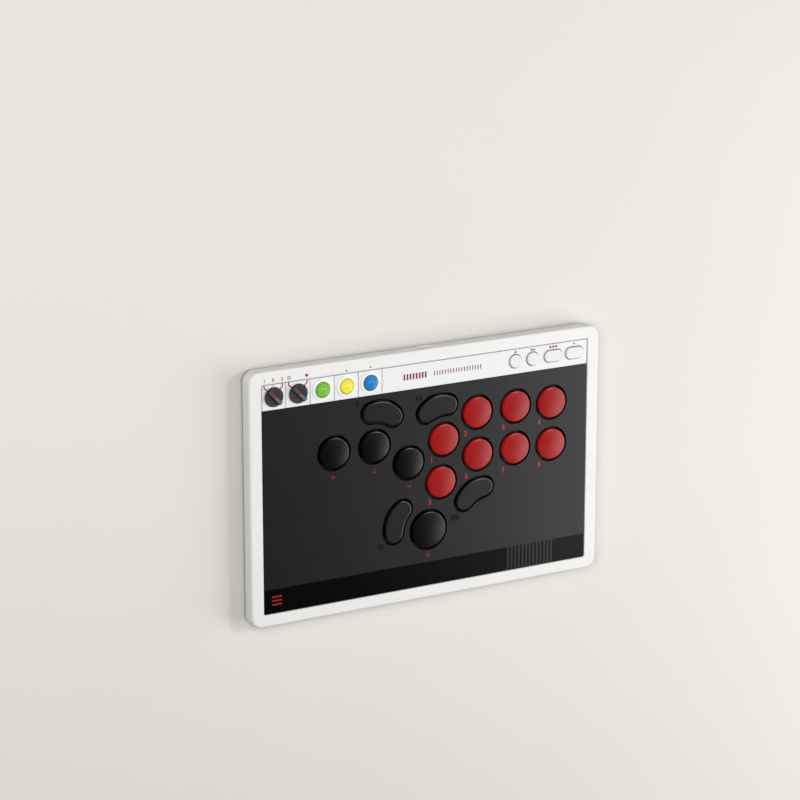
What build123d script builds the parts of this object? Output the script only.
"""All-button arcade controller: a slim case with sixteen key switches, seven small buttons and two knobs.

Millimetres. The case lies on its feet with its face up: +Z is up, +X runs to the player's right and
+Y away from the player, towards the header strip. The origin is on the table, under the case's centre.
"""

from build123d import *
import os
from math import atan2, cos, radians, sin, sqrt

os.makedirs("parts", exist_ok=True)

NEAR = 0.05  # an edge this close to a stated place counts as lying there

# ---------------------------------------------------------------- case, driving sizes
CASE_W, CASE_D = 300.0, 196.0
CASE_CORNER_R = 8.5
WALL = 2.4
SEAM_W = 0.4  # the tray is this much smaller all round, which draws the seam line
FLOOR = 2.0
LIP_H, LIP_T, LIP_SLIP = 1.4, 1.2, 0.15
TRAY_BEVEL = 3.0
TOP_ROUND = 1.6

# heights of the stack, from the table up
FOOT_H = 1.5
SEAM_Z = 6.0
INNER_FLOOR_Z = FOOT_H + FLOOR
BOARD_Z = 6.5
BOARD_T = 1.6
BOARD_TOP_Z = BOARD_Z + BOARD_T
SWITCH_PLATE_Z = BOARD_TOP_Z + 1.0
SWITCH_PLATE_T = 1.2
FLANGE_Z = SWITCH_PLATE_Z + SWITCH_PLATE_T
SKIN_Z = 12.9  # underside of the top shell's border
LEDGE_Z = 14.4  # the face plate and the header lie on this ledge
FACE_Z = 16.0
HEADER_Z = 16.3
FRAME_Z = 16.6

# the opening in the top shell, and the two panels that fill it
OPEN_W, OPEN_D = 280.0, 177.0
OPEN_R = 1.5
LEDGE_W = 2.5
PANEL_GAP = 0.2
WELL_BEVEL, FACE_BEVEL, HEADER_BEVEL = 0.25, 0.2, 0.15
HEADER_D = 20.0
HEADER_LOW_Y = OPEN_D / 2 - HEADER_D
HEADER_MID_Y = OPEN_D / 2 - HEADER_D / 2
RIB_W = 4.0
CELL_W = 20.0
CELL_COUNT = 5
GROOVE_W, GROOVE_DEPTH = 0.6, 0.5

# ---------------------------------------------------------------- keys
CAP_R = 12.05
THUMB_CAP_R = 14.4
KEY_GAP = 1.85  # between a cap and the edge of its hole in the face plate
CAP_SKIRT_Z = 14.4
CAP_ROOF_Z = 15.9
CAP_EDGE_Z = 16.9
CAP_BEVEL_W, CAP_BEVEL_H = 0.9, 0.28  # shallow bevel that runs round the top of every cap
CAP_EDGE_ROUND = 0.25
CAP_DRAFT = 0.1
CAP_DOME_H = 0.75
ROUND_CAP_WALL = 1.2
PRONG_LENGTH = 2.2

ROUND_KEYS = {
    "left": (-80.4, 28.4, CAP_R),
    "down": (-46.4, 28.5, CAP_R),
    "right": (-17.3, 11.5, CAP_R),
    "up": (-0.2, -43.7, THUMB_CAP_R),
    "action_1": (13.1, 25.6, CAP_R),
    "action_2": (42.1, 42.9, CAP_R),
    "action_3": (76.0, 42.9, CAP_R),
    "action_4": (108.0, 41.6, CAP_R),
    "action_5": (10.8, -7.6, CAP_R),
    "action_6": (42.9, 9.7, CAP_R),
    "action_7": (75.7, 9.7, CAP_R),
    "action_8": (108.0, 8.4, CAP_R),
}

# kidney keys: the middle between the two end circles, and the turn from bulging away from the player
KIDNEY_KEYS = {
    "macro_1": (-39.9, 52.1, -15.0),
    "macro_2": (-26.3, -33.7, 67.5),
    "macro_3": (7.2, 50.1, 12.2),
    "macro_4": (39.7, -21.6, 26.9),
}
KIDNEY_HALF_SPAN = 9.8
KIDNEY_END_R = 7.1
KIDNEY_BACK_R = 22.7
KIDNEY_BELLY_R = 24.0
KIDNEY_CAP_WALL = 1.0
KIDNEY_STEM_Y = 2.0  # the switch stands this far towards the bulging side

# low-profile switch
COVER_W, COVER_D = 13.2, 12.0
BASE_W, BASE_D = 13.4, 12.2
FLANGE_W, FLANGE_D, FLANGE_T = 15.0, 13.8, 0.6
COVER_TOP_Z = 13.1
SWITCH_WALL = 0.9
STEM_W, STEM_D = 8.0, 5.6
STEM_SLIP = 0.2
STEM_FOOT_Z = 11.9
STEM_FOOT_T = 0.4
STEM_FOOT_EDGE = 0.8  # the foot stands out this far round the stem and holds it under the cover
STEM_CORNER_R = 0.5
SPRING_BORE_R = 2.2
SPRING_BORE_TOP_Z = 14.5
SPRING_R = 1.7
SPRING_WIRE = 0.3
SPRING_PITCH = 1.15
SPRING_REST = 0.05  # slack at each end of the spring
PRONG_X = 2.9
PRONG_W, PRONG_D = 1.0, 3.0
PRONG_FIT = 0.1
PRONG_SPARE = 0.2
BASE_FLOOR_Z = BOARD_TOP_Z + 0.7
SPRING_PIN_R, SPRING_PIN_H = 1.1, 0.9
FLANGE_CORNER_R = 0.6
COVER_BEVEL = 0.4
COVER_ROOF_GAP = 0.1  # between the stem's foot and the cover's roof
BOSS_R = 1.7
BOSS_FIT = 0.1

# ---------------------------------------------------------------- header controls
KNOB_R = 7.45
KNOB_BASE_Z = HEADER_Z + 0.3
KNOB_DISC_Z = HEADER_Z + 1.8
KNOB_BAR_Z = HEADER_Z + 3.3
KNOB_BAR_W = 3.2
KNOB_POINTER = 135.0  # direction of the pointer at rest, from +X
KNOB_BEVEL = 0.5
KNOB_GRIP_INSET = 0.15
SPINDLE_R = 2.1
SPINDLE_FIT = 0.05
SPINDLE_HOLE_R = 3.5
SPINDLE_FOOT_Z = BOARD_TOP_Z + 1.0
SELECTOR_W, SELECTOR_H, SELECTOR_CORNER_R = 12.0, 4.6, 0.8
SELECTOR_FLOOR_T = 0.8
KNOBS = {"mode_knob": -130.0, "link_knob": -110.0}

LAMP_R = 6.0
LAMP_BORE_R = 6.4
LAMP_FLANGE_R = 6.75
LAMP_FLANGE_T = 0.8
LAMP_ROUND = 0.5
BEZEL_R = 7.8
BEZEL_TUBE_R = 7.0
BEZEL_FIT = 0.1
BEZEL_ROUND = 0.5
BEZEL_Z = HEADER_Z + 1.0
LAMP_EDGE_Z = HEADER_Z + 1.5
LAMP_DOME_H = 0.5
BEZEL_TUBE_Z = LEDGE_Z - 0.8
LAMP_BUTTONS = {"green_button": -90.0, "yellow_button": -70.0, "blue_button": -50.0}

SMALL_R = 5.2
PILL_W, PILL_D = 16.0, 9.2
SMALL_GAP = 0.55
SMALL_ROUND = 0.9
ROUND_BUTTONS = {"thumb_left_button": 75.2, "thumb_right_button": 90.6}
PILL_BUTTONS = {"select_button": 108.9, "start_button": 128.0}
BUTTON_Z = HEADER_Z + 1.3
BUTTON_FOOT_Z = 10.35
BUTTON_FOOT_R = 1.8
BUTTON_FLANGE = 1.0
BUTTON_FLANGE_Z, BUTTON_FLANGE_T = LEDGE_Z - 1.1, 0.8
LAMP_FLANGE_Z = BEZEL_TUBE_Z - 1.0

PAD_BASE_R, PAD_BASE_T = 4.0, 0.5
PAD_R, PAD_TAPER = 3.0, 30
PAD_GAP = 0.05

LENS_R = 0.6
LENS_Y = 90.4
LENS_XS = (-70.0, -50.0)
LENS_FIT = 0.05
LENS_FLANGE, LENS_FLANGE_T = 0.6, 1.0

# ---------------------------------------------------------------- case fittings
SCREW_X, SCREW_Y = 142.0, 90.5
SCREW_MID_X = 60.0
CASE_SCREW_R = 1.4
CASE_HEAD_R = 2.6
CASE_HEAD_T = 1.7
HEAD_SEAT_Z = 3.9
BOSS_SPLIT_Z = 5.6
SHELL_BOSS_R, SHELL_BOSS_Z = 3.2, BOSS_SPLIT_Z + 0.1
TRAY_BOSS_R = 3.9
SCREW_DEPTH = 5.4
SCREW_LENGTH = 6.5
SCREW_FIT, SCREW_CLEARANCE = 0.05, 0.2
HEAD_ROUND = 0.5
CASE_CROSS_W, CASE_CROSS_DEPTH = 3.0, 0.9

BOARD_LEFT, BOARD_RIGHT = -92.0, 133.0
BOARD_FRONT, BOARD_BACK = -80.0, 86.5
BOARD_ARM_LEFT, BOARD_ARM_FRONT = -136.5, 64.5
BOARD_TONGUE_W, BOARD_TONGUE_BACK = 16.0, 93.5
BOARD_SCREW_R = 1.15
BOARD_HEAD_R, BOARD_HEAD_T = 2.2, 1.5
BOARD_SCREW_LENGTH = 4.4
BOARD_CROSS_W, BOARD_CROSS_DEPTH = 2.6, 0.8
STANDOFF_R = 3.0
BOARD_SCREWS = [(x, y) for x in (-85, 22) for y in (-75.5, 67.5)]
BOARD_SCREWS += [(127, -75.5), (128.5, -10), (128.5, 67.5)]

# plan place and size of each block on the board, and its height
CHIPS = {
    "radio_shield": (46, 77, 18, 14, 2.2),
    "controller": (14, 77, 10, 10, 1.2),
    "memory": (-6, 76, 6, 5, 0.9),
    "charger_coil": (-20, 77, 6, 6, 2.8),
    "battery_socket": (-30, 76, 9, 6, 4.0),
}
CHIP_BEVEL = 0.4

PLATE_LEFT, PLATE_RIGHT = -93.0, 124.0
PLATE_FRONT, PLATE_BACK = -70.0, 63.5
PLATE_CORNER_R = 3.0
PLATE_SLIP = 0.15

BATTERY_W, BATTERY_D, BATTERY_T = 36.0, 96.0, 6.0
BATTERY_X, BATTERY_Y = -115.0, -10.0
BATTERY_CORNER_R, BATTERY_ROUND = 2.0, 1.0
FENCE_SLIP, FENCE_T, FENCE_H = 0.3, 1.4, 4.0
FENCE_LEG_W, FENCE_LEG_D = 7.0, 12.0  # the fence stands only at the battery's corners

FOOT_W, FOOT_D, FOOT_T = 46.0, 9.0, 2.0
FOOT_X, FOOT_Y = 105.0, 82.0
FOOT_SLIP, FOOT_BEVEL = 0.1, 0.4
LABEL_W, LABEL_D, LABEL_R, LABEL_DEPTH = 84.0, 32.0, 2.5, 0.4

PORT_X, PORT_Z = 0.0, BOARD_TOP_Z + 1.63
PORT_W, PORT_H = 8.94, 3.26
PORT_BACK_Y, PORT_MOUTH_Y = 88.0, 95.3
PORT_WALL, PORT_DEPTH = 0.3, 6.3
TONGUE_W, TONGUE_T = 6.6, 0.7
PORT_CLEARANCE = 0.4
PORT_RECESS_W, PORT_RECESS_H, PORT_RECESS_DEPTH = 13.0, 7.0, 1.0


# ---------------------------------------------------------------- helpers
def save(shape, name):
    """Label one finished piece and write its STEP file."""
    shape.label = name
    export_step(shape, f"parts/{name}.step")


def dome_arc(radius, edge_z, rise):
    """Arc from a round top's edge to its crown, centred on the axis. Call inside a BuildLine."""
    sphere_r = (radius**2 + rise**2) / (2 * rise)
    half_z = edge_z + rise - sphere_r + sqrt(sphere_r**2 - radius**2 / 4)
    ThreePointArc((radius, edge_z), (radius / 2, half_z), (0, edge_z + rise))


def kidney_outline(grow):
    """Kidney outline that bulges towards +Y, moved outwards by grow: four arcs, tangent to each other."""
    end_r = KIDNEY_END_R + grow
    back_r = KIDNEY_BACK_R + grow
    belly_r = KIDNEY_BELLY_R - grow
    back_y = -sqrt((back_r - end_r) ** 2 - KIDNEY_HALF_SPAN**2)
    belly_y = -sqrt((belly_r + end_r) ** 2 - KIDNEY_HALF_SPAN**2)
    back_turn = atan2(-back_y, KIDNEY_HALF_SPAN)
    belly_turn = atan2(-belly_y, KIDNEY_HALF_SPAN)
    end_mid = (back_turn + belly_turn - radians(180)) / 2
    back_point = Vector(back_r * cos(back_turn), back_y + back_r * sin(back_turn))
    belly_point = Vector(belly_r * cos(belly_turn), belly_y + belly_r * sin(belly_turn))
    end_point = Vector(KIDNEY_HALF_SPAN + end_r * cos(end_mid), end_r * sin(end_mid))
    back_left, belly_left, end_left = [Vector(-v.X, v.Y) for v in (back_point, belly_point, end_point)]
    with BuildSketch() as outline:
        with BuildLine():
            ThreePointArc(back_left, (0, back_y + back_r), back_point)
            ThreePointArc(back_point, end_point, belly_point)
            ThreePointArc(belly_point, (0, belly_y + belly_r), belly_left)
            ThreePointArc(belly_left, end_left, back_left)
        make_face()
    return outline.sketch


def kidney_place(name):
    """Where a kidney key's own frame stands on the face."""
    x, y, turn = KIDNEY_KEYS[name]
    return Location((x, y, 0), (0, 0, turn))


# Every switch stands on one of these, in its key's own direction.
SWITCH_PLACES = {name: Location((x, y, 0)) for name, (x, y, _) in ROUND_KEYS.items()}
SWITCH_PLACES |= {name: kidney_place(name) * Location((0, KIDNEY_STEM_Y, 0)) for name in KIDNEY_KEYS}

CASE_SCREW_POINTS = [(sx * SCREW_X, sy * SCREW_Y) for sx in (-1, 1) for sy in (-1, 0, 1)]
CASE_SCREW_POINTS += [(sx * SCREW_MID_X, sy * SCREW_Y) for sx in (-1, 1) for sy in (-1, 1)]
DIVIDER_XS = [-OPEN_W / 2 + CELL_W * (i + 1) for i in range(CELL_COUNT)]


# ---------------------------------------------------------------- top shell
with BuildPart() as top_shell:
    with BuildSketch(Plane.XY.offset(SEAM_Z)):
        RectangleRounded(CASE_W, CASE_D, CASE_CORNER_R)
    extrude(amount=FRAME_Z - SEAM_Z)
    fillet(top_shell.edges().group_by(Axis.Z)[-1], TOP_ROUND)
    with BuildSketch(Plane.XY.offset(SEAM_Z)):
        RectangleRounded(CASE_W - 2 * WALL, CASE_D - 2 * WALL, CASE_CORNER_R - WALL)
    extrude(amount=SKIN_Z - SEAM_Z, mode=Mode.SUBTRACT)
    # screw bosses under the border
    with BuildSketch(Plane.XY.offset(SHELL_BOSS_Z)):
        with Locations(*CASE_SCREW_POINTS):
            Circle(SHELL_BOSS_R)
    extrude(until=Until.NEXT)
    with BuildSketch(Plane.XY.offset(SHELL_BOSS_Z)):
        with Locations(*CASE_SCREW_POINTS):
            Circle(CASE_SCREW_R + SCREW_FIT)
    extrude(amount=SCREW_DEPTH, mode=Mode.SUBTRACT)
    # the well for the two panels, and the two windows that leave their ledge and a rib between them
    with BuildSketch(Plane.XY.offset(LEDGE_Z)):
        RectangleRounded(OPEN_W, OPEN_D, OPEN_R)
    extrude(amount=FRAME_Z - LEDGE_Z, mode=Mode.SUBTRACT)
    window_w = OPEN_W - 2 * LEDGE_W
    face_window_low = -OPEN_D / 2 + LEDGE_W
    face_window_high = HEADER_LOW_Y - RIB_W / 2
    header_window_low = HEADER_LOW_Y + RIB_W / 2
    header_window_high = OPEN_D / 2 - LEDGE_W
    with BuildSketch(Plane.XY.offset(SKIN_Z)):
        with Locations((0, (face_window_low + face_window_high) / 2)):
            Rectangle(window_w, face_window_high - face_window_low)
        with Locations((0, (header_window_low + header_window_high) / 2)):
            Rectangle(window_w, header_window_high - header_window_low)
    extrude(amount=LEDGE_Z - SKIN_Z, mode=Mode.SUBTRACT)
    well_rim = top_shell.edges().group_by(Axis.Z)[-1].filter_by(
        lambda e: abs(e.center().X) <= OPEN_W / 2 + NEAR and abs(e.center().Y) <= OPEN_D / 2 + NEAR
    )
    chamfer(well_rim, WELL_BEVEL)
    # light-pipe holes above the header, and the port's slot in the back wall
    with BuildSketch(Plane.XY.offset(SKIN_Z)):
        with Locations(*[(x, LENS_Y) for x in LENS_XS]):
            Circle(LENS_R + LENS_FIT)
    extrude(amount=FRAME_Z - SKIN_Z, mode=Mode.SUBTRACT)
    with BuildSketch(Plane.XZ.offset(-CASE_D / 2)):
        with Locations((PORT_X, PORT_Z)):
            SlotOverall(PORT_W + 2 * PORT_CLEARANCE, PORT_H + 2 * PORT_CLEARANCE)
    extrude(amount=2 * WALL, mode=Mode.SUBTRACT)
    with BuildSketch(Plane.XZ.offset(-CASE_D / 2)):
        with Locations((PORT_X, PORT_Z)):
            SlotOverall(PORT_RECESS_W, PORT_RECESS_H)
    extrude(amount=PORT_RECESS_DEPTH, mode=Mode.SUBTRACT)
save(top_shell.part, "top_shell")

# ---------------------------------------------------------------- bottom shell
with BuildPart() as bottom_shell:
    lip_inset = WALL + LIP_SLIP
    hollow_inset = lip_inset + LIP_T
    with BuildSketch(Plane.XY.offset(FOOT_H)):
        RectangleRounded(CASE_W - 2 * SEAM_W, CASE_D - 2 * SEAM_W, CASE_CORNER_R - SEAM_W)
    extrude(amount=SEAM_Z - FOOT_H)
    chamfer(bottom_shell.edges().group_by(Axis.Z)[0], TRAY_BEVEL)
    # the lip that enters the top shell
    with BuildSketch(Plane.XY.offset(SEAM_Z)):
        RectangleRounded(CASE_W - 2 * lip_inset, CASE_D - 2 * lip_inset, CASE_CORNER_R - lip_inset)
    extrude(amount=LIP_H)
    with BuildSketch(Plane.XY.offset(INNER_FLOOR_Z)):
        RectangleRounded(CASE_W - 2 * hollow_inset, CASE_D - 2 * hollow_inset, CASE_CORNER_R - hollow_inset)
    extrude(amount=SEAM_Z + LIP_H - INNER_FLOOR_Z, mode=Mode.SUBTRACT)
    # screw bosses, counterbored from below
    with BuildSketch(Plane.XY.offset(INNER_FLOOR_Z)):
        with Locations(*CASE_SCREW_POINTS):
            Circle(TRAY_BOSS_R)
    extrude(amount=BOSS_SPLIT_Z - INNER_FLOOR_Z)
    with BuildSketch(Plane.XY.offset(FOOT_H)):
        with Locations(*CASE_SCREW_POINTS):
            Circle(CASE_SCREW_R + SCREW_CLEARANCE)
    extrude(amount=BOSS_SPLIT_Z - FOOT_H, mode=Mode.SUBTRACT)
    with BuildSketch(Plane.XY.offset(FOOT_H)):
        with Locations(*CASE_SCREW_POINTS):
            Circle(CASE_HEAD_R + SCREW_CLEARANCE)
    extrude(amount=HEAD_SEAT_Z - FOOT_H, mode=Mode.SUBTRACT)
    # standoffs for the board
    with BuildSketch(Plane.XY.offset(INNER_FLOOR_Z)):
        with Locations(*BOARD_SCREWS):
            Circle(STANDOFF_R)
            Circle(BOARD_SCREW_R + SCREW_FIT, mode=Mode.SUBTRACT)
    extrude(amount=BOARD_Z - INNER_FLOOR_Z)
    # low fence round the battery's corners
    fence_grow = 2 * (FENCE_SLIP + FENCE_T)
    with BuildSketch(Plane.XY.offset(INNER_FLOOR_Z)):
        with Locations((BATTERY_X, BATTERY_Y)):
            Rectangle(BATTERY_W + fence_grow, BATTERY_D + fence_grow)
            Rectangle(BATTERY_W + 2 * FENCE_SLIP, BATTERY_D + 2 * FENCE_SLIP, mode=Mode.SUBTRACT)
            Rectangle(BATTERY_W + 2 * fence_grow, BATTERY_D - 2 * FENCE_LEG_D, mode=Mode.SUBTRACT)
            Rectangle(BATTERY_W - 2 * FENCE_LEG_W, BATTERY_D + 2 * fence_grow, mode=Mode.SUBTRACT)
    extrude(amount=FENCE_H)
    # shallow seats for the feet
    with BuildSketch(Plane.XY.offset(FOOT_H)):
        with GridLocations(2 * FOOT_X, 2 * FOOT_Y, 2, 2):
            SlotOverall(FOOT_W, FOOT_D)
    extrude(amount=FOOT_T - FOOT_H, mode=Mode.SUBTRACT)
    # a shallow seat for a rating label
    with BuildSketch(Plane.XY.offset(FOOT_H)):
        RectangleRounded(LABEL_W, LABEL_D, LABEL_R)
    extrude(amount=LABEL_DEPTH, mode=Mode.SUBTRACT)
save(bottom_shell.part, "bottom_shell")

with BuildPart() as rubber_feet:
    with BuildSketch():
        with GridLocations(2 * FOOT_X, 2 * FOOT_Y, 2, 2):
            SlotOverall(FOOT_W - 2 * FOOT_SLIP, FOOT_D - 2 * FOOT_SLIP)
    extrude(amount=FOOT_T)
    chamfer(rubber_feet.edges().group_by(Axis.Z)[0], FOOT_BEVEL)
save(rubber_feet.part, "rubber_feet")

# ---------------------------------------------------------------- face plate
with BuildPart() as face_plate:
    plate_low = -OPEN_D / 2 + PANEL_GAP
    plate_high = HEADER_LOW_Y - PANEL_GAP / 2
    with BuildSketch(Plane.XY.offset(LEDGE_Z)):
        with Locations((0, (plate_low + plate_high) / 2)):
            RectangleRounded(OPEN_W - 2 * PANEL_GAP, plate_high - plate_low, OPEN_R - PANEL_GAP)
        for x, y, cap_r in ROUND_KEYS.values():
            with Locations((x, y)):
                Circle(cap_r + KEY_GAP, mode=Mode.SUBTRACT)
        for key in KIDNEY_KEYS:
            with Locations(kidney_place(key)):
                add(kidney_outline(KEY_GAP), mode=Mode.SUBTRACT)
    extrude(amount=FACE_Z - LEDGE_Z)
    chamfer(face_plate.edges().group_by(Axis.Z)[-1], FACE_BEVEL)
save(face_plate.part, "face_plate")

# ---------------------------------------------------------------- header strip
with BuildPart() as header_panel:
    with BuildSketch(Plane.XY.offset(LEDGE_Z)):
        with Locations((0, HEADER_MID_Y)):
            RectangleRounded(OPEN_W - 2 * PANEL_GAP, HEADER_D - 1.5 * PANEL_GAP, OPEN_R - PANEL_GAP)
        with Locations(*[(x, HEADER_MID_Y) for x in KNOBS.values()]):
            Circle(SPINDLE_HOLE_R, mode=Mode.SUBTRACT)
        with Locations(*[(x, HEADER_MID_Y) for x in LAMP_BUTTONS.values()]):
            Circle(BEZEL_TUBE_R + BEZEL_FIT, mode=Mode.SUBTRACT)
        with Locations(*[(x, HEADER_MID_Y) for x in ROUND_BUTTONS.values()]):
            Circle(SMALL_R + SMALL_GAP, mode=Mode.SUBTRACT)
        with Locations(*[(x, HEADER_MID_Y) for x in PILL_BUTTONS.values()]):
            SlotOverall(PILL_W + 2 * SMALL_GAP, PILL_D + 2 * SMALL_GAP, mode=Mode.SUBTRACT)
    extrude(amount=HEADER_Z - LEDGE_Z)
    chamfer(header_panel.edges().group_by(Axis.Z)[-1], HEADER_BEVEL)
    # grooves between the cells
    with BuildSketch(Plane.XY.offset(HEADER_Z)):
        with Locations(*[(x, HEADER_MID_Y) for x in DIVIDER_XS]):
            Rectangle(GROOVE_W, HEADER_D)
    extrude(amount=-GROOVE_DEPTH, mode=Mode.SUBTRACT)
save(header_panel.part, "header_panel")

# ---------------------------------------------------------------- key caps
def add_prongs(stem_y=0):
    """The two blades under a cap's roof that push into its stem. Call inside the cap's BuildPart."""
    with BuildSketch(Plane.XY.offset(CAP_ROOF_Z)) as blades:
        with Locations((-PRONG_X, stem_y), (PRONG_X, stem_y)):
            Rectangle(PRONG_W, PRONG_D)
    extrude(blades.sketch, amount=-PRONG_LENGTH)


def round_cap(radius):
    """Domed round cap with a shallow bevel round its top, hollow from below, centred on its stem."""
    rim_r = radius - CAP_DRAFT
    dome_r = rim_r - CAP_BEVEL_W
    dome_z = CAP_EDGE_Z + CAP_BEVEL_H
    with BuildPart() as cap:
        with BuildSketch(Plane.XZ):
            with BuildLine():
                Polyline((0, CAP_SKIRT_Z), (radius, CAP_SKIRT_Z), (rim_r, CAP_EDGE_Z), (dome_r, dome_z))
                dome_arc(dome_r, dome_z, CAP_DOME_H)
                Line((0, dome_z + CAP_DOME_H), (0, CAP_SKIRT_Z))
            make_face()
        revolve(axis=Axis.Z)
        rim = cap.edges().filter_by(lambda e: e.is_closed and abs(e.center().Z - CAP_EDGE_Z) < NEAR)
        fillet(rim, CAP_EDGE_ROUND)
        with BuildSketch(Plane.XY.offset(CAP_SKIRT_Z)):
            Circle(radius - ROUND_CAP_WALL)
        extrude(amount=CAP_ROOF_Z - CAP_SKIRT_Z, mode=Mode.SUBTRACT)
        add_prongs()
    return cap.part


def kidney_cap():
    """Flat-topped kidney cap with a shallow bevel round its top, in its key's own frame."""
    with BuildPart() as cap:
        with BuildSketch(Plane.XY.offset(CAP_SKIRT_Z)):
            add(kidney_outline(0))
        extrude(amount=CAP_EDGE_Z - CAP_SKIRT_Z)
        with BuildSketch(Plane.XY.offset(CAP_EDGE_Z)):
            add(kidney_outline(0))
        with BuildSketch(Plane.XY.offset(CAP_EDGE_Z + CAP_BEVEL_H)):
            add(kidney_outline(-CAP_BEVEL_W))
        loft(ruled=True)
        fillet(cap.edges().filter_by_position(Axis.Z, CAP_EDGE_Z - NEAR, CAP_EDGE_Z + NEAR), CAP_EDGE_ROUND)
        with BuildSketch(Plane.XY.offset(CAP_SKIRT_Z)):
            add(kidney_outline(-KIDNEY_CAP_WALL))
        extrude(amount=CAP_ROOF_Z - CAP_SKIRT_Z, mode=Mode.SUBTRACT)
        add_prongs(KIDNEY_STEM_Y)
    return cap.part


for name, (x, y, cap_r) in ROUND_KEYS.items():
    save(round_cap(cap_r).moved(Location((x, y, 0))), f"cap_{name}")

for name in KIDNEY_KEYS:
    save(kidney_cap().moved(kidney_place(name)), f"cap_{name}")

# ---------------------------------------------------------------- key switches
with BuildPart() as stem:
    with BuildSketch(Plane.XY.offset(STEM_FOOT_Z)):
        Rectangle(STEM_W + 2 * STEM_FOOT_EDGE, STEM_D + 2 * STEM_FOOT_EDGE)
    extrude(amount=STEM_FOOT_T)
    with BuildSketch(Plane.XY.offset(STEM_FOOT_Z)):
        RectangleRounded(STEM_W, STEM_D, STEM_CORNER_R)
    extrude(amount=CAP_ROOF_Z - STEM_FOOT_Z)
    with BuildSketch(Plane.XY.offset(STEM_FOOT_Z)):
        Circle(SPRING_BORE_R)
    extrude(amount=SPRING_BORE_TOP_Z - STEM_FOOT_Z, mode=Mode.SUBTRACT)
    with BuildSketch(Plane.XY.offset(CAP_ROOF_Z)):
        with Locations((-PRONG_X, 0), (PRONG_X, 0)):
            Rectangle(PRONG_W + PRONG_FIT, PRONG_D + PRONG_FIT)
    extrude(amount=-PRONG_LENGTH - PRONG_SPARE, mode=Mode.SUBTRACT)

for name, place in SWITCH_PLACES.items():
    save(stem.part.moved(place), f"stem_{name}")

with BuildPart() as switch_base:
    with BuildSketch(Plane.XY.offset(BOARD_TOP_Z)):
        Rectangle(BASE_W, BASE_D)
    extrude(amount=FLANGE_Z - BOARD_TOP_Z)
    with BuildSketch(Plane.XY.offset(BASE_FLOOR_Z)):
        Rectangle(BASE_W - 2 * SWITCH_WALL, BASE_D - 2 * SWITCH_WALL)
    extrude(amount=FLANGE_Z - BOARD_TOP_Z, mode=Mode.SUBTRACT)
    with BuildSketch(Plane.XY.offset(BASE_FLOOR_Z)):
        Circle(SPRING_PIN_R)
    extrude(amount=SPRING_PIN_H)
    with BuildSketch(Plane.XY.offset(BOARD_Z + BOSS_FIT)):
        Circle(BOSS_R)
    extrude(amount=BOARD_T - BOSS_FIT)

with BuildPart() as switch_cover:
    with BuildSketch(Plane.XY.offset(FLANGE_Z)):
        RectangleRounded(FLANGE_W, FLANGE_D, FLANGE_CORNER_R)
    extrude(amount=FLANGE_T)
    with BuildSketch(Plane.XY.offset(FLANGE_Z)):
        Rectangle(COVER_W, COVER_D)
    extrude(amount=COVER_TOP_Z - FLANGE_Z)
    chamfer(switch_cover.edges().group_by(Axis.Z)[-1], COVER_BEVEL)
    with BuildSketch(Plane.XY.offset(FLANGE_Z)):
        Rectangle(COVER_W - 2 * SWITCH_WALL, COVER_D - 2 * SWITCH_WALL)
    extrude(amount=STEM_FOOT_Z + STEM_FOOT_T + COVER_ROOF_GAP - FLANGE_Z, mode=Mode.SUBTRACT)
    with BuildSketch(Plane.XY.offset(FLANGE_Z)):
        RectangleRounded(STEM_W + 2 * STEM_SLIP, STEM_D + 2 * STEM_SLIP, STEM_CORNER_R)
    extrude(amount=COVER_TOP_Z - FLANGE_Z, mode=Mode.SUBTRACT)

with BuildPart() as spring:
    spring_low = BASE_FLOOR_Z + SPRING_WIRE / 2 + SPRING_REST
    spring_high = SPRING_BORE_TOP_Z - SPRING_WIRE / 2 - SPRING_REST
    with BuildLine() as coil:
        Helix(SPRING_PITCH, spring_high - spring_low, SPRING_R, center=(0, 0, spring_low))
    with BuildSketch(Plane(origin=coil.line @ 0, z_dir=coil.line % 0)):
        Rectangle(SPRING_WIRE, SPRING_WIRE)
    sweep(path=coil.line, is_frenet=True)

SWITCH_GROUPS = {"switch_bases": switch_base, "switch_covers": switch_cover, "switch_springs": spring}
for group, piece in SWITCH_GROUPS.items():
    with BuildPart() as switch_group:
        for place in SWITCH_PLACES.values():
            add(piece.part.moved(place))
    save(switch_group.part, group)

# ---------------------------------------------------------------- switch plate and board
with BuildPart() as switch_plate:
    with BuildSketch(Plane.XY.offset(SWITCH_PLATE_Z)):
        with Locations(((PLATE_LEFT + PLATE_RIGHT) / 2, (PLATE_FRONT + PLATE_BACK) / 2)):
            RectangleRounded(PLATE_RIGHT - PLATE_LEFT, PLATE_BACK - PLATE_FRONT, PLATE_CORNER_R)
        for place in SWITCH_PLACES.values():
            with Locations(place):
                Rectangle(BASE_W + 2 * PLATE_SLIP, BASE_D + 2 * PLATE_SLIP, mode=Mode.SUBTRACT)
    extrude(amount=SWITCH_PLATE_T)
save(switch_plate.part, "switch_plate")

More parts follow.
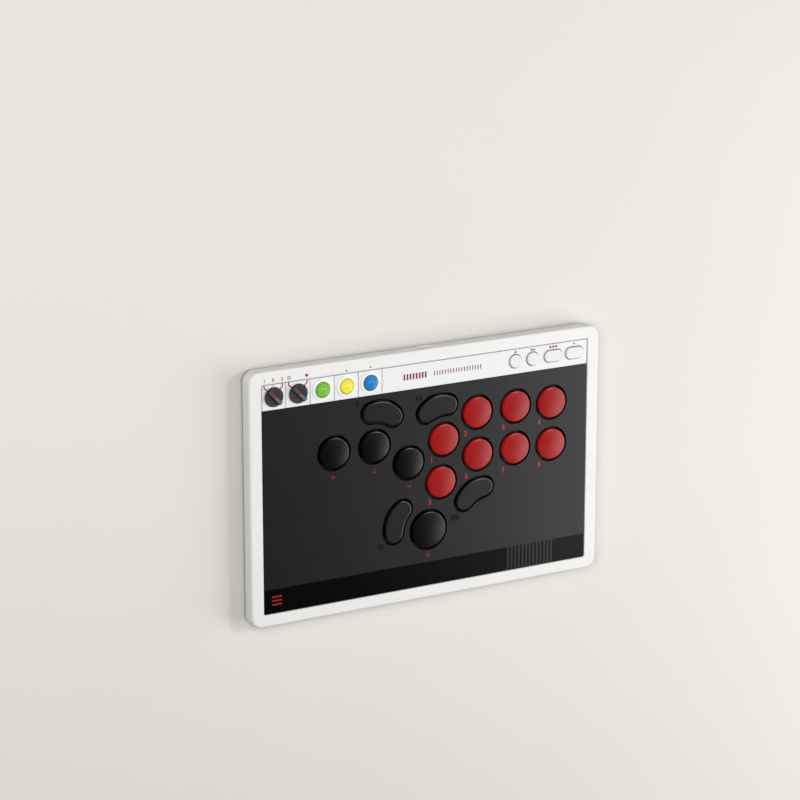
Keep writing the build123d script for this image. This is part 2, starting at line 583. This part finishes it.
with BuildPart() as main_board:
    with BuildSketch(Plane.XY.offset(BOARD_Z)):
        with Locations(((BOARD_LEFT + BOARD_RIGHT) / 2, (BOARD_FRONT + BOARD_BACK) / 2)):
            Rectangle(BOARD_RIGHT - BOARD_LEFT, BOARD_BACK - BOARD_FRONT)
        with Locations(((BOARD_ARM_LEFT + BOARD_RIGHT) / 2, (BOARD_ARM_FRONT + BOARD_BACK) / 2)):
            Rectangle(BOARD_RIGHT - BOARD_ARM_LEFT, BOARD_BACK - BOARD_ARM_FRONT)
        with Locations((PORT_X, (BOARD_BACK + BOARD_TONGUE_BACK) / 2)):
            Rectangle(BOARD_TONGUE_W, BOARD_TONGUE_BACK - BOARD_BACK)
        with Locations(*[place.position for place in SWITCH_PLACES.values()]):
            Circle(BOSS_R + BOSS_FIT, mode=Mode.SUBTRACT)
        with Locations(*BOARD_SCREWS):
            Circle(BOARD_SCREW_R + SCREW_CLEARANCE, mode=Mode.SUBTRACT)
    extrude(amount=BOARD_T)
save(main_board.part, "main_board")

with BuildPart() as board_chips:
    for x, y, chip_w, chip_d, chip_h in CHIPS.values():
        with BuildSketch(Plane.XY.offset(BOARD_TOP_Z)):
            with Locations((x, y)):
                Rectangle(chip_w, chip_d)
        extrude(amount=chip_h)
    chamfer(board_chips.edges().filter_by(Axis.Z), CHIP_BEVEL)
save(board_chips.part, "board_chips")

with BuildPart() as battery_pack:
    with BuildSketch(Plane.XY.offset(INNER_FLOOR_Z)):
        with Locations((BATTERY_X, BATTERY_Y)):
            RectangleRounded(BATTERY_W, BATTERY_D, BATTERY_CORNER_R)
    extrude(amount=BATTERY_T)
    fillet(battery_pack.edges().group_by(Axis.Z)[-1], BATTERY_ROUND)
save(battery_pack.part, "battery_pack")

with BuildPart() as usb_port:
    with BuildSketch(Plane.XZ.offset(-PORT_MOUTH_Y)):
        with Locations((PORT_X, PORT_Z)):
            SlotOverall(PORT_W, PORT_H)
    extrude(amount=PORT_MOUTH_Y - PORT_BACK_Y)
    with BuildSketch(Plane.XZ.offset(-PORT_MOUTH_Y)):
        with Locations((PORT_X, PORT_Z)):
            SlotOverall(PORT_W - 2 * PORT_WALL, PORT_H - 2 * PORT_WALL)
            Rectangle(TONGUE_W, TONGUE_T, mode=Mode.SUBTRACT)
    extrude(amount=PORT_DEPTH, mode=Mode.SUBTRACT)
save(usb_port.part, "usb_port")

# ---------------------------------------------------------------- fasteners
def cross_recess(head_plane, size, depth):
    """Cut the two crossed slots of a screw head, into the head from its plane."""
    with BuildSketch(head_plane) as cross:
        Rectangle(size, size / 4)
        Rectangle(size / 4, size)
    extrude(cross.sketch, amount=-depth, mode=Mode.SUBTRACT)


with BuildPart() as case_screw:
    with BuildSketch(Plane.XY.offset(HEAD_SEAT_Z)):
        Circle(CASE_HEAD_R)
    extrude(amount=-CASE_HEAD_T)
    fillet(case_screw.edges().group_by(Axis.Z)[0], HEAD_ROUND)
    with BuildSketch(Plane.XY.offset(HEAD_SEAT_Z)):
        Circle(CASE_SCREW_R)
    extrude(amount=SCREW_LENGTH)
    head_face = Plane.XY.offset(HEAD_SEAT_Z - CASE_HEAD_T).rotated((180, 0, 0))
    cross_recess(head_face, CASE_CROSS_W, CASE_CROSS_DEPTH)

with BuildPart() as case_screws:
    for x, y in CASE_SCREW_POINTS:
        add(case_screw.part.moved(Location((x, y, 0))))
save(case_screws.part, "case_screws")

with BuildPart() as board_screw:
    with BuildSketch(Plane.XY.offset(BOARD_TOP_Z)):
        Circle(BOARD_HEAD_R)
    extrude(amount=BOARD_HEAD_T)
    fillet(board_screw.edges().group_by(Axis.Z)[-1], HEAD_ROUND)
    with BuildSketch(Plane.XY.offset(BOARD_TOP_Z)):
        Circle(BOARD_SCREW_R)
    extrude(amount=-BOARD_SCREW_LENGTH)
    cross_recess(Plane.XY.offset(BOARD_TOP_Z + BOARD_HEAD_T), BOARD_CROSS_W, BOARD_CROSS_DEPTH)

with BuildPart() as board_screws:
    for x, y in BOARD_SCREWS:
        add(board_screw.part.moved(Location((x, y, 0))))
save(board_screws.part, "board_screws")

# ---------------------------------------------------------------- knobs and their switches
with BuildPart() as selector_body:
    with BuildSketch(Plane.XY.offset(BOARD_TOP_Z)):
        RectangleRounded(SELECTOR_W, SELECTOR_W, SELECTOR_CORNER_R)
    extrude(amount=SELECTOR_H)
    with BuildSketch(Plane.XY.offset(BOARD_TOP_Z + SELECTOR_FLOOR_T)):
        Circle(SPINDLE_R + SPINDLE_FIT)
    extrude(amount=SELECTOR_H, mode=Mode.SUBTRACT)

with BuildPart() as selector_bodies:
    for x in KNOBS.values():
        add(selector_body.part.moved(Location((x, HEADER_MID_Y, 0))))
save(selector_bodies.part, "selector_bodies")

with BuildPart() as knob:
    with BuildSketch(Plane.XY.offset(KNOB_BASE_Z)):
        Circle(KNOB_R)
    extrude(amount=KNOB_DISC_Z - KNOB_BASE_Z)
    chamfer(knob.edges().group_by(Axis.Z)[-1], KNOB_BEVEL)
    with BuildSketch(Plane.XY.offset(KNOB_BASE_Z)) as grip:
        with Locations(Rot(0, 0, KNOB_POINTER)):
            Rectangle(2 * KNOB_R, KNOB_BAR_W)
        Circle(KNOB_R - KNOB_GRIP_INSET, mode=Mode.INTERSECT)
    extrude(amount=KNOB_BAR_Z - KNOB_BASE_Z)
    fillet(knob.edges().group_by(Axis.Z)[-1], KNOB_BEVEL)
    with BuildSketch(Plane.XY.offset(KNOB_BASE_Z)):
        Circle(SPINDLE_R)
    extrude(amount=SPINDLE_FOOT_Z - KNOB_BASE_Z)

for name, x in KNOBS.items():
    save(knob.part.moved(Location((x, HEADER_MID_Y, 0))), name)

# ---------------------------------------------------------------- lit buttons and their bezels
with BuildPart() as bezel:
    with BuildSketch(Plane.XY.offset(HEADER_Z)):
        Circle(BEZEL_R)
    extrude(amount=BEZEL_Z - HEADER_Z)
    fillet(bezel.edges().group_by(Axis.Z)[-1], BEZEL_ROUND)
    with BuildSketch(Plane.XY.offset(BEZEL_TUBE_Z)):
        Circle(BEZEL_TUBE_R)
    extrude(amount=HEADER_Z - BEZEL_TUBE_Z)
    with BuildSketch(Plane.XY.offset(BEZEL_TUBE_Z)):
        Circle(LAMP_BORE_R)
    extrude(amount=BEZEL_Z - BEZEL_TUBE_Z, mode=Mode.SUBTRACT)

with BuildPart() as button_bezels:
    for x in LAMP_BUTTONS.values():
        add(bezel.part.moved(Location((x, HEADER_MID_Y, 0))))
save(button_bezels.part, "button_bezels")

with BuildPart() as lamp_button:
    flange_top = LAMP_FLANGE_Z + LAMP_FLANGE_T
    with BuildSketch(Plane.XZ):
        with BuildLine():
            Polyline((0, BUTTON_FOOT_Z), (BUTTON_FOOT_R, BUTTON_FOOT_Z), (BUTTON_FOOT_R, LAMP_FLANGE_Z))
            Line((BUTTON_FOOT_R, LAMP_FLANGE_Z), (LAMP_FLANGE_R, LAMP_FLANGE_Z))
            Line((LAMP_FLANGE_R, LAMP_FLANGE_Z), (LAMP_FLANGE_R, flange_top))
            Polyline((LAMP_FLANGE_R, flange_top), (LAMP_R, flange_top), (LAMP_R, LAMP_EDGE_Z))
            dome_arc(LAMP_R, LAMP_EDGE_Z, LAMP_DOME_H)
            Line((0, LAMP_EDGE_Z + LAMP_DOME_H), (0, BUTTON_FOOT_Z))
        make_face()
    revolve(axis=Axis.Z)
    fillet(lamp_button.edges().filter_by(lambda e: e.is_closed).sort_by(Axis.Z)[-1], LAMP_ROUND)

for name, x in LAMP_BUTTONS.items():
    save(lamp_button.part.moved(Location((x, HEADER_MID_Y, 0))), name)

# ---------------------------------------------------------------- small white buttons
def finish_small_button(button):
    """Round the button's top edge and add the foot that presses the pad. Call inside its BuildPart."""
    fillet(button.edges().group_by(Axis.Z)[-1], SMALL_ROUND)
    with BuildSketch(Plane.XY.offset(BUTTON_FOOT_Z)) as foot:
        Circle(BUTTON_FOOT_R)
    extrude(foot.sketch, amount=BUTTON_FLANGE_Z - BUTTON_FOOT_Z)


with BuildPart() as round_button:
    with BuildSketch(Plane.XY.offset(BUTTON_FLANGE_Z)):
        Circle(SMALL_R + BUTTON_FLANGE)
    extrude(amount=BUTTON_FLANGE_T)
    with BuildSketch(Plane.XY.offset(BUTTON_FLANGE_Z)):
        Circle(SMALL_R)
    extrude(amount=BUTTON_Z - BUTTON_FLANGE_Z)
    finish_small_button(round_button)

with BuildPart() as pill_button:
    with BuildSketch(Plane.XY.offset(BUTTON_FLANGE_Z)):
        SlotOverall(PILL_W + 2 * BUTTON_FLANGE, PILL_D + 2 * BUTTON_FLANGE)
    extrude(amount=BUTTON_FLANGE_T)
    with BuildSketch(Plane.XY.offset(BUTTON_FLANGE_Z)):
        SlotOverall(PILL_W, PILL_D)
    extrude(amount=BUTTON_Z - BUTTON_FLANGE_Z)
    finish_small_button(pill_button)

for name, x in ROUND_BUTTONS.items():
    save(round_button.part.moved(Location((x, HEADER_MID_Y, 0))), name)

for name, x in PILL_BUTTONS.items():
    save(pill_button.part.moved(Location((x, HEADER_MID_Y, 0))), name)

# rubber domes under the seven small buttons
with BuildPart() as dome_pad:
    pad_base_top = BOARD_TOP_Z + PAD_BASE_T
    with BuildSketch(Plane.XY.offset(BOARD_TOP_Z)):
        Circle(PAD_BASE_R)
    extrude(amount=PAD_BASE_T)
    with BuildSketch(Plane.XY.offset(pad_base_top)):
        Circle(PAD_R)
    extrude(amount=BUTTON_FOOT_Z - PAD_GAP - pad_base_top, taper=PAD_TAPER)

with BuildPart() as dome_pads:
    for x in [*LAMP_BUTTONS.values(), *ROUND_BUTTONS.values(), *PILL_BUTTONS.values()]:
        add(dome_pad.part.moved(Location((x, HEADER_MID_Y, 0))))
save(dome_pads.part, "dome_pads")

# ---------------------------------------------------------------- light pipes of the two indicators
with BuildPart() as indicator_lenses:
    with BuildSketch(Plane.XY.offset(SKIN_Z - LENS_FLANGE_T)):
        with Locations(*[(x, LENS_Y) for x in LENS_XS]):
            Circle(LENS_R + LENS_FLANGE)
    extrude(amount=LENS_FLANGE_T)
    with BuildSketch(Plane.XY.offset(SKIN_Z)):
        with Locations(*[(x, LENS_Y) for x in LENS_XS]):
            Circle(LENS_R)
    extrude(amount=FRAME_Z - SKIN_Z)
save(indicator_lenses.part, "indicator_lenses")
